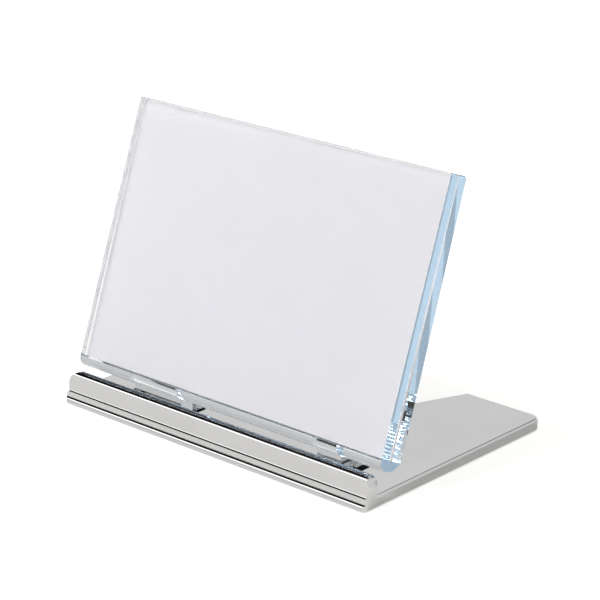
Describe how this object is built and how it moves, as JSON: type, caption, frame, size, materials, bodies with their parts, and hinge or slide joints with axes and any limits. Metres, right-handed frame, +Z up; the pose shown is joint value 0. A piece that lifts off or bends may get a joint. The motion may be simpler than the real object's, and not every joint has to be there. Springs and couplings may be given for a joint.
{
  "type": "card stand",
  "caption": "Desk stand for a name card: flat plated base with a raised front rail and a rear notch, and a clear pocket that leans back and holds a plain card.",
  "frame": {"origin": "On the table plane, under the middle of the bounding box of the stand.", "axes": "X runs along the front rail, from the viewer's left to right. Y runs from the front to the back, the way the pocket leans. Z is up."},
  "size_m": [0.095, 0.0646, 0.0707],
  "materials": {
    "plating": "bright plating on a die-cast body",
    "non_slip": "matt black sheet",
    "clear_plastic": "clear acrylic, polished, pale blue at the edges",
    "card_stock": "smooth uncoated card, plain"
  },
  "bodies": {
    "root": {"base": "plating", "base_pad": "non_slip", "card_pocket": "clear_plastic", "card": "card_stock"}
  },
  "joints": []
}
